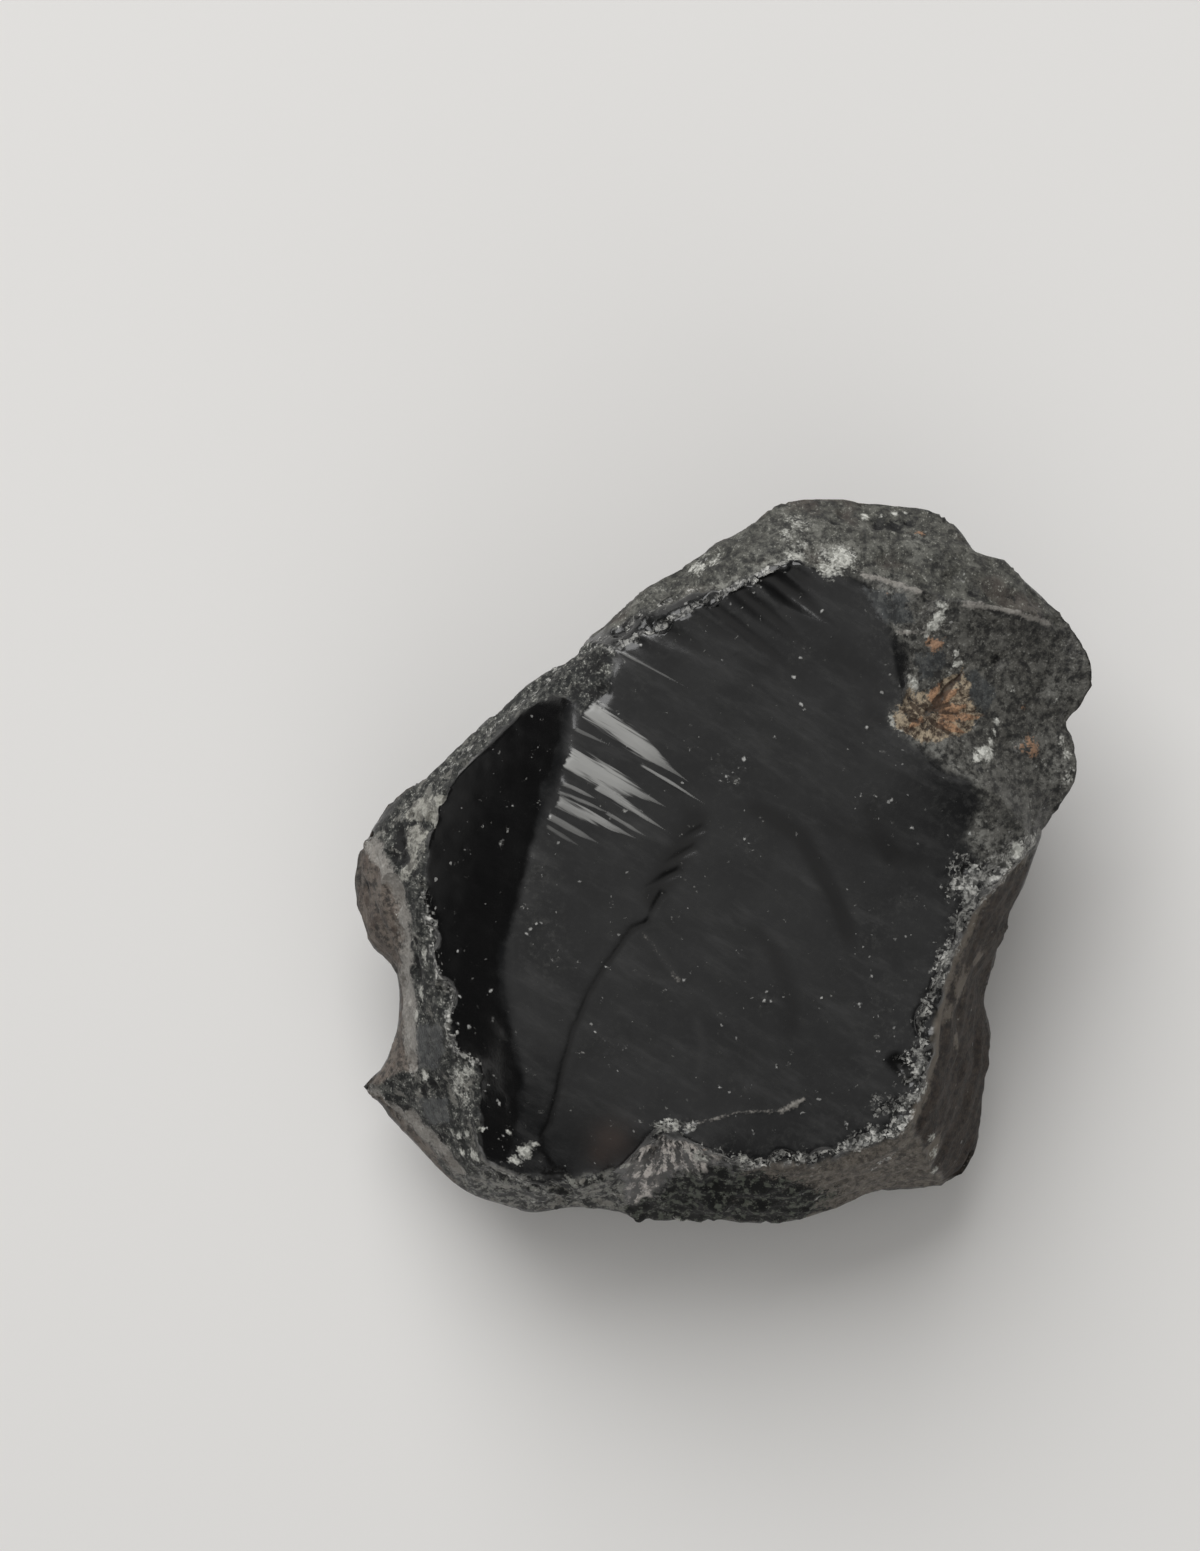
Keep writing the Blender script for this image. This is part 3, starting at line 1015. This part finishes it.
class Nodes:
    """Adds nodes to one node tree, wiring values or other nodes' outputs to their inputs."""

    def __init__(self, tree):
        self.tree = tree

    def put(self, socket, value):
        if isinstance(value, bpy.types.NodeSocket):
            self.tree.links.new(value, socket)
        else:
            socket.default_value = (*value, 1.0) if socket.type == "RGBA" else value

    def add(self, kind, inputs, **settings):
        node = self.tree.nodes.new("ShaderNode" + kind)
        for name, value in settings.items():
            setattr(node, name, value)
        for name, value in inputs.items():
            self.put(node.inputs[name], value)
        return node

    def attribute(self, name):
        return self.add("Attribute", {}, attribute_name=name).outputs["Fac"]

    def math(self, operation, *values, clamp=False):
        inputs = dict(enumerate(values))
        return self.add("Math", inputs, operation=operation, use_clamp=clamp).outputs[0]

    def times(self, first, second):
        return self.math("MULTIPLY", first, second)

    def plus(self, first, second):
        return self.math("ADD", first, second)

    def line(self, value, slope, start):
        """The value times the slope, plus the start."""
        return self.math("MULTIPLY_ADD", value, slope, start)

    def most(self, *values):
        best = values[0]
        for value in values[1:]:
            best = self.math("MAXIMUM", best, value)
        return best

    def step(self, low, high, value, **ends):
        """0 below low, 1 above high, smooth between, or the other ends that are given."""
        inputs = {"Value": value, "From Min": low, "From Max": high}
        inputs.update({f"To {name.title()}": end for name, end in ends.items()})
        return self.add("MapRange", inputs, interpolation_type="SMOOTHSTEP").outputs[0]

    def ragged(self, field, noise, amount, low, high):
        """A mask with torn edges: the field plus noise, and nothing where the field is nil."""
        torn = self.step(low, high, self.line(noise, amount, field))
        return self.times(torn, self.step(0.0, 0.12, field))

    def colour(self, amount, first, second):
        inputs = {0: amount, 6: first, 7: second}
        return self.add("Mix", inputs, data_type="RGBA").outputs[2]

    def blend(self, amount, first, second):
        return self.add("Mix", {0: amount, 2: first, 3: second}).outputs[0]

    def places(self, stretch=(1.0, 1.0, 1.0), turn=0.0):
        """The stone's own coordinates in millimetres, turned about Z and then stretched."""
        source = self.add("TexCoord", {}).outputs["Object"]
        scale = tuple(MM / s for s in stretch)
        inputs = {"Vector": source, "Rotation": (0.0, 0.0, turn), "Scale": scale}
        return self.add("Mapping", inputs, vector_type="TEXTURE").outputs[0]

    def noise(self, places, size, detail=3.0, rough=0.55):
        """Noise from 0 to 1 with bumps of the given size in millimetres."""
        inputs = {"Vector": places, "Scale": 1.0 / size, "Detail": detail, "Roughness": rough}
        return self.add("TexNoise", inputs).outputs["Fac"]

    def cells(self, places, size):
        """Cells of broken grains: values from 0 to 1 for each cell, and the place within it."""
        node = self.add("TexVoronoi", {"Vector": places, "Scale": 1.0 / size})
        split = self.add("SeparateColor", {0: node.outputs["Color"]})
        return split.outputs, node.outputs["Distance"]

    def grains(self, cells, pick, share, least, more):
        """1 in scattered grains: this share of the cells, with radii as parts of their size."""
        values, distance = cells
        there = self.math("LESS_THAN", values[pick], share)
        inside = self.math("SUBTRACT", self.line(values[1], more, least), distance)
        return self.times(there, self.step(-0.04, 0.05, inside))

    def shaken(self, places, size, amount):
        """Places moved about by noise, for ragged grains."""
        inputs = {"Vector": places, "Scale": 1.0 / size, "Detail": 1.0}
        noise = self.add("TexNoise", inputs).outputs["Color"]
        inputs = {0: noise, 1: (amount, amount, amount), 2: places}
        return self.add("VectorMath", inputs, operation="MULTIPLY_ADD").outputs[0]

    def fan(self, places, centre, across, along):
        """Places for noise drawn out into rays that fan out from a centre, seen from above."""
        split = self.add("SeparateXYZ", {0: places}).outputs
        x, y = (self.math("SUBTRACT", split[k], centre[k]) for k in range(2))
        angle = self.math("ARCTAN2", y, x)
        reach = self.math("SQRT", self.plus(self.times(x, x), self.times(y, y)))
        inputs = {0: self.times(angle, across), 1: self.times(reach, along)}
        return self.add("CombineXYZ", inputs).outputs[0]


def seen_at(pixel):
    """The place in millimetres, over the upper side, that a pixel of the view shows."""
    across = VIEW_AXIS[0] + (pixel[0] - PICTURE_SIZE[0] / 2.0) * PIXEL_ON_TOP
    up = VIEW_AXIS[1] + (PICTURE_SIZE[1] / 2.0 - pixel[1]) * PIXEL_ON_TOP
    return across, up


def obsidian_material():
    """Black glass, its frosted and crushed places, its weathered skin, brown walls and rust."""
    material = bpy.data.materials.new("obsidian")
    material.use_nodes = True
    n = Nodes(material.node_tree)
    at = n.attribute
    plain, tall = n.places(), n.places((1.0, 1.0, 0.4))
    fine = n.noise(plain, 0.12, 1.0)
    middling = n.noise(plain, 0.5, 3.0, 0.6)
    broad = n.noise(plain, 2.6)
    blotch = n.noise(plain, 0.9, 4.0, 0.65)
    coarse = n.noise(plain, 0.55, 3.0, 0.7)
    granular = n.noise(tall, 0.3, 3.0, 0.72)
    curds = n.noise(tall, 0.42, 2.0, 0.62)
    sandy = n.noise(tall, 0.1, 1.0, 0.6)
    bands = n.noise(n.places((0.3, 0.3, 1.5)), 0.5, 3.0, 0.68)
    hackle = n.noise(n.places((0.1, 1.6, 0.5), HACKLE_SLOPE), 0.2, 2.0)
    smoke = n.noise(n.places((0.28, 1.0, 0.5), HACKLE_SLOPE), 1.0, 4.0, 0.68)
    shaken = n.shaken(plain, 0.2, 0.22)
    crumbs, _ = n.cells(shaken, 0.13)
    clods = n.cells(shaken, 0.34)
    grit = n.plus(n.line(fine, 0.7, n.times(middling, 0.9)), -0.8)
    sand = n.line(n.line(sandy, 0.55, n.times(granular, 0.45)), 1.6, -0.28)

    def surface(base, *layers):
        """A colour from dark to light as a noise rises, and tints over it by other noises."""
        noise, low, high, dark, light = base
        tinted = n.colour(n.step(low, high, noise), dark, light)
        for noise, low, high, amount, tint in layers:
            tinted = n.colour(n.times(n.step(low, high, noise), amount), tinted, tint)
        return tinted

    def cover(mask, roughness, tint, amount=1.0):
        """Lays a surface over what is there."""
        nonlocal colour, rough
        colour = n.colour(n.times(mask, amount), colour, tint)
        rough = n.blend(mask, rough, roughness)

    # Glass: nearly black, a little clouded, darker along streaks, arcs and the crack
    colour = surface(
        (broad, 0.3, 0.72, (0.004, 0.0043, 0.0048), (0.0115, 0.0118, 0.0122)),
        (smoke, 0.45, 0.8, 1.0, (0.027, 0.0272, 0.0274)),
    )
    rough = n.blend(n.step(0.35, 0.7, smoke), 0.16, 0.25)
    haze = n.times(n.step(0.45, 0.8, granular), n.line(at("dusty"), 0.55, 0.12))
    colour = n.colour(haze, colour, (0.05, 0.05, 0.048))
    light_band = n.math("MULTIPLY", at("arc"), -1.0, clamp=True)
    colour = n.colour(light_band, colour, (0.026, 0.026, 0.026))
    colour = n.colour(n.times(at("stain"), 0.7), colour, (0.042, 0.024, 0.017))
    shadow = n.step(0.0, 0.75, n.most(at("streak"), at("crack"), at("arc"), at("scar")))
    colour = n.colour(shadow, colour, (0.001, 0.001, 0.0012))
    worn = n.step(0.35, 0.95, n.plus(at("edge"), grit))
    colour = n.colour(n.times(worn, 0.55), colour, (0.16, 0.16, 0.155))

    # Walls: brown-black and grey-brown, banded
    crusty = n.line(granular, 0.45, n.line(at("dusty"), 0.45, n.times(bands, 0.45)))
    cover(at("right_wall"), 0.75, surface(
        (granular, 0.36, 0.64, (0.0085, 0.0056, 0.0043), (0.046, 0.033, 0.025)),
        (bands, 0.36, 0.66, 0.3, (0.05, 0.04, 0.031)),
        (crusty, 0.54, 0.74, 0.85, (0.165, 0.142, 0.115)),
    ))
    cover(at("front_wall"), 0.7, surface(
        (granular, 0.36, 0.64, (0.034, 0.029, 0.024), (0.158, 0.138, 0.114)),
        (bands, 0.36, 0.66, 0.35, (0.11, 0.094, 0.076)),
        (sand, 0.637, 0.837, 1.0, (0.22, 0.205, 0.18)),
    ))
    cover(at("left_wall"), 0.7, surface(
        (granular, 0.36, 0.62, (0.024, 0.02, 0.017), (0.15, 0.125, 0.104)),
        (blotch, 0.46, 0.62, 0.6, (0.075, 0.054, 0.043)),
        (bands, 0.52, 0.66, 0.5, (0.21, 0.185, 0.16)),
        (middling, 0.41, 0.32, 0.8, (0.014, 0.011, 0.009)),
    ))

    # Weathered skin below and at the back, then above, and the rough break: pitted, with crumbs
    old = n.ragged(at("weathered"), grit, 1.8, 0.3, 0.75)
    cover(old, 0.62, surface(
        (coarse, 0.38, 0.62, (0.014, 0.0125, 0.0105), (0.092, 0.082, 0.069)),
        (broad, 0.48, 0.64, 0.6, (0.06, 0.045, 0.036)),
        (coarse, 0.56, 0.68, 0.7, (0.2, 0.19, 0.165)),
        (middling, 0.4, 0.3, 1.0, (0.008, 0.008, 0.007)),
    ))
    powdered = n.times(at("dusty"), n.step(0.4, 0.6, granular))
    powdered = n.times(powdered, n.blend(n.step(0.4, 0.62, blotch), 0.15, 0.65))
    skin = surface(
        (granular, 0.34, 0.66, (0.013, 0.013, 0.0115), (0.078, 0.077, 0.065)),
        (blotch, 0.5, 0.64, 0.6, (0.13, 0.129, 0.112)),
        (broad, 0.52, 0.68, 0.55, (0.064, 0.049, 0.041)),
        (sand, 0.615, 0.815, 0.8, (0.27, 0.27, 0.24)),
        (middling, 0.43, 0.34, 0.85, (0.009, 0.009, 0.008)),
    )
    cover(at("skin"), 0.7, n.colour(powdered, skin, (0.3, 0.3, 0.27)))
    dull = surface(
        (granular, 0.36, 0.64, (0.014, 0.014, 0.013), (0.088, 0.085, 0.075)),
        (blotch, 0.5, 0.64, 0.55, (0.145, 0.142, 0.128)),
        (sand, 0.626, 0.826, 0.75, (0.25, 0.25, 0.23)),
        (middling, 0.42, 0.34, 0.8, (0.008, 0.008, 0.008)),
    )
    cover(at("rough"), 0.55, n.colour(powdered, dull, (0.25, 0.25, 0.23)))

    # Small breaks: the shelf on the left, the lower front, and facets on the shelf and break
    cover(at("shelf"), 0.8, surface(
        (granular, 0.42, 0.62, (0.004, 0.005, 0.0048), (0.072, 0.073, 0.066)),
        (blotch, 0.55, 0.66, 0.7, (0.2, 0.195, 0.175)),
        (sand, 0.608, 0.808, 0.85, (0.38, 0.38, 0.345)),
        (middling, 0.43, 0.34, 1.0, (0.006, 0.006, 0.006)),
    ))
    cover(at("lower_front"), 0.6, surface(
        (granular, 0.45, 0.56, (0.003, 0.0035, 0.003), (0.17, 0.17, 0.152)),
        (blotch, 0.54, 0.62, 0.6, (0.23, 0.22, 0.195)),
        (blotch, 0.45, 0.38, 0.9, (0.004, 0.004, 0.004)),
        (sand, 0.622, 0.822, 0.85, (0.33, 0.33, 0.3)),
    ))
    cover(n.ragged(at("pale_facet"), grit, 2.0, 0.25, 0.8), 0.45, surface(
        (granular, 0.38, 0.6, (0.07, 0.067, 0.057), (0.36, 0.355, 0.315)),
        (blotch, 0.48, 0.64, 0.5, (0.125, 0.12, 0.1)),
    ))
    cover(n.ragged(at("blue_facet"), grit, 2.0, 0.3, 0.9), 0.6, surface(
        (bands, 0.45, 0.62, (0.024, 0.026, 0.027), (0.048, 0.052, 0.053)),
        (granular, 0.46, 0.66, 0.7, (0.095, 0.098, 0.094)),
    ))

    # Dark mossy lumps
    mossy = n.ragged(at("moss"), grit, 2.2, 0.25, 0.8)
    cover(n.most(mossy, n.step(0.2, 0.45, at("lump"))), 0.8, surface(
        (curds, 0.52, 0.64, (0.0016, 0.0019, 0.0016), (0.08, 0.088, 0.07)),
        (granular, 0.54, 0.64, 0.6, (0.12, 0.128, 0.105)),
        (sand, 0.644, 0.844, 0.8, (0.2, 0.205, 0.18)),
    ))

    # Bruised, powdery white: rims, chip, crusts, plumes, threads and specks
    keep = n.line(crumbs[0], 0.5, n.line(clods[0][0], 0.42, n.times(grit, -0.5)))
    crushed = n.step(-0.06, 0.22, n.math("SUBTRACT", at("crushed"), keep))
    powder = n.line(granular, 0.75, n.times(crumbs[1], 0.25))
    white = surface((powder, 0.36, 0.66, (0.06, 0.06, 0.056), (0.6, 0.595, 0.56)))
    cover(crushed, 0.55, white, n.blend(n.step(0.42, 0.58, blotch), 0.45, 0.95))
    rays = n.noise(n.fan(shaken, seen_at(CHIP_BLOW), 7.0, 0.55), 0.6, 3.0, 0.68)
    cover(at("chip"), 0.4, surface(
        (rays, 0.46, 0.58, (0.012, 0.011, 0.01), (0.62, 0.575, 0.535)),
        (granular, 0.5, 0.62, 0.6, (0.075, 0.062, 0.053)),
        (blotch, 0.5, 0.4, 0.8, (0.02, 0.019, 0.017)),
    ), 0.92)
    crust = n.ragged(at("pale"), grit, 1.4, 0.28, 0.75)
    cover(crust, 0.7, n.colour(crumbs[1], (0.26, 0.26, 0.235), (0.66, 0.66, 0.61)), 0.92)
    feathers = n.line(n.plus(hackle, -0.5), 2.2, at("plume"))
    frost = n.times(at("frost"), n.step(-0.1, 0.12, at("plume")))
    cover(n.times(n.step(-0.05, 0.6, feathers), frost), 0.42, (0.31, 0.31, 0.3))
    thread = n.ragged(at("thread"), grit, 1.0, 0.05, 0.6)
    cover(thread, 0.55, n.colour(fine, (0.15, 0.14, 0.125), (0.38, 0.36, 0.33)), 0.8)
    speck = n.ragged(at("speck"), grit, 1.2, 0.42, 0.95)
    many, few = n.line(at("dusty"), 0.44, 0.1), n.line(at("dusty"), 0.045, 0.011)
    dust = n.times(n.grains(clods, 0, many, 0.03, 0.13), 0.4)
    big_dust = n.times(n.grains(clods, 2, few, 0.06, 0.21), 0.5)
    colour = n.colour(n.most(speck, dust, big_dust), colour, (0.4, 0.4, 0.385))
    pits = n.ragged(at("dark_spot"), grit, 1.4, 0.3, 0.6)
    colour = n.colour(pits, colour, (0.003, 0.003, 0.003))

    # Rust: cream and brown crumbs, with orange and dark needles fanning out, and orange spots
    hair = n.noise(n.fan(shaken, seen_at(RUST_CENTRE), 3.0, 0.9), 0.5, 2.0, 0.65)
    hair = n.line(hair, 0.35, n.times(granular, 0.65))
    cream = surface((hair, 0.4, 0.6, (0.05, 0.033, 0.021), (0.38, 0.31, 0.22)))
    orange = surface((hair, 0.38, 0.6, (0.075, 0.04, 0.023), (0.4, 0.235, 0.135)))
    rusty = n.colour(n.step(0.0, 0.45, n.plus(at("needle"), grit)), cream, orange)
    root = n.step(0.05, 0.45, n.plus(at("dark_needle"), grit))
    rusty = n.colour(n.times(root, 0.85), rusty, (0.034, 0.019, 0.011))
    cover(n.ragged(at("rust"), grit, 2.4, 0.3, 0.95), 0.75, rusty)
    spots = n.ragged(at("rust_spot"), grit, 1.4, 0.35, 0.75)
    cover(spots, 0.75, n.colour(fine, (0.15, 0.075, 0.042), (0.42, 0.26, 0.16)), 0.85)

    shader = n.tree.nodes["Principled BSDF"]
    n.put(shader.inputs["Base Color"], colour)
    n.put(shader.inputs["Roughness"], rough)
    shader.inputs["IOR"].default_value = 1.5
    matt = ("skin", "rough", "shelf", "right_wall", "front_wall", "left_wall")
    grainy = n.most(old, crushed, crust, *(at(name) for name in matt))
    height = n.line(fine, 0.6, middling)
    strength = n.blend(grainy, 0.04, 0.6)
    inputs = {"Height": height, "Strength": strength, "Distance": 0.1 * MM}
    n.put(shader.inputs["Normal"], n.add("Bump", inputs).outputs[0])
    return material


# ---- stage ------------------------------------------------------------------------------------


def make_floor():
    bpy.ops.mesh.primitive_plane_add(size=FLOOR_SIZE)
    floor = bpy.context.object
    floor.name = "floor"
    material = bpy.data.materials.new("pale_floor")
    material.use_nodes = True
    shader = material.node_tree.nodes["Principled BSDF"]
    shader.inputs["Base Color"].default_value = (0.80, 0.79, 0.775, 1.0)
    shader.inputs["Roughness"].default_value = 0.9
    floor.data.materials.append(material)


def make_light(name, place, size, power, mirrored):
    """A square soft light, in metres and watts, that faces the stone.

    The glass mirrors it, or it only brightens what is matt.
    """
    light = bpy.data.lights.new(name, "AREA")
    light.size = size
    light.energy = power
    lamp = bpy.data.objects.new(name, light)
    lamp.location = place
    lamp.visible_glossy = mirrored
    lamp.rotation_euler = (-lamp.location).to_track_quat("-Z", "Y").to_euler()
    bpy.context.scene.collection.objects.link(lamp)


def make_world():
    """A soft overhead glow that fades towards a dim horizon, with a plain pale backdrop."""
    world = bpy.data.worlds.new("studio")
    world.use_nodes = True
    n = Nodes(world.node_tree)
    inputs = {0: n.add("TexCoord", {}).outputs["Generated"], 1: Vector(GLOW_FROM).normalized()}
    height = n.add("VectorMath", inputs, operation="DOT_PRODUCT").outputs["Value"]
    surroundings = n.tree.nodes["Background"].inputs
    n.put(surroundings["Color"], (1.0, 0.99, 0.97))
    n.put(surroundings["Strength"], n.step(0.48, 0.96, height, min=0.10, max=0.57))
    seen = n.add("LightPath", {}).outputs["Is Camera Ray"]
    glow = n.tree.nodes["Background"].outputs[0]
    backdrop = n.add("Background", {"Color": (0.80, 0.79, 0.77)}).outputs[0]
    mix = n.add("MixShader", {0: seen, 1: glow, 2: backdrop}).outputs[0]
    n.put(n.tree.nodes["World Output"].inputs["Surface"], mix)
    bpy.context.scene.world = world
    bpy.context.scene.view_settings.view_transform = "Standard"


def make_camera():
    camera = bpy.data.cameras.new("camera")
    camera.sensor_fit = "VERTICAL"
    camera.sensor_height = SENSOR
    camera.lens = SENSOR * VIEW_HEIGHT / (PICTURE_SIZE[1] * PIXEL)
    camera.clip_start = 0.01
    eye = bpy.data.objects.new("camera", camera)
    eye.location = (VIEW_AXIS[0] * MM, VIEW_AXIS[1] * MM, VIEW_HEIGHT * MM)
    bpy.context.scene.collection.objects.link(eye)
    bpy.context.scene.camera = eye


make_camera()
make_light("key", place=(-0.16, 0.42, 0.46), size=0.50, power=3.4, mirrored=True)
make_light("fill", place=(0.14, -0.50, 0.30), size=0.60, power=0.6, mirrored=False)
make_world()
make_floor()
stone = make_stone()
stone.data.materials.append(obsidian_material())
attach(stone, "root")
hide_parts(NODE)
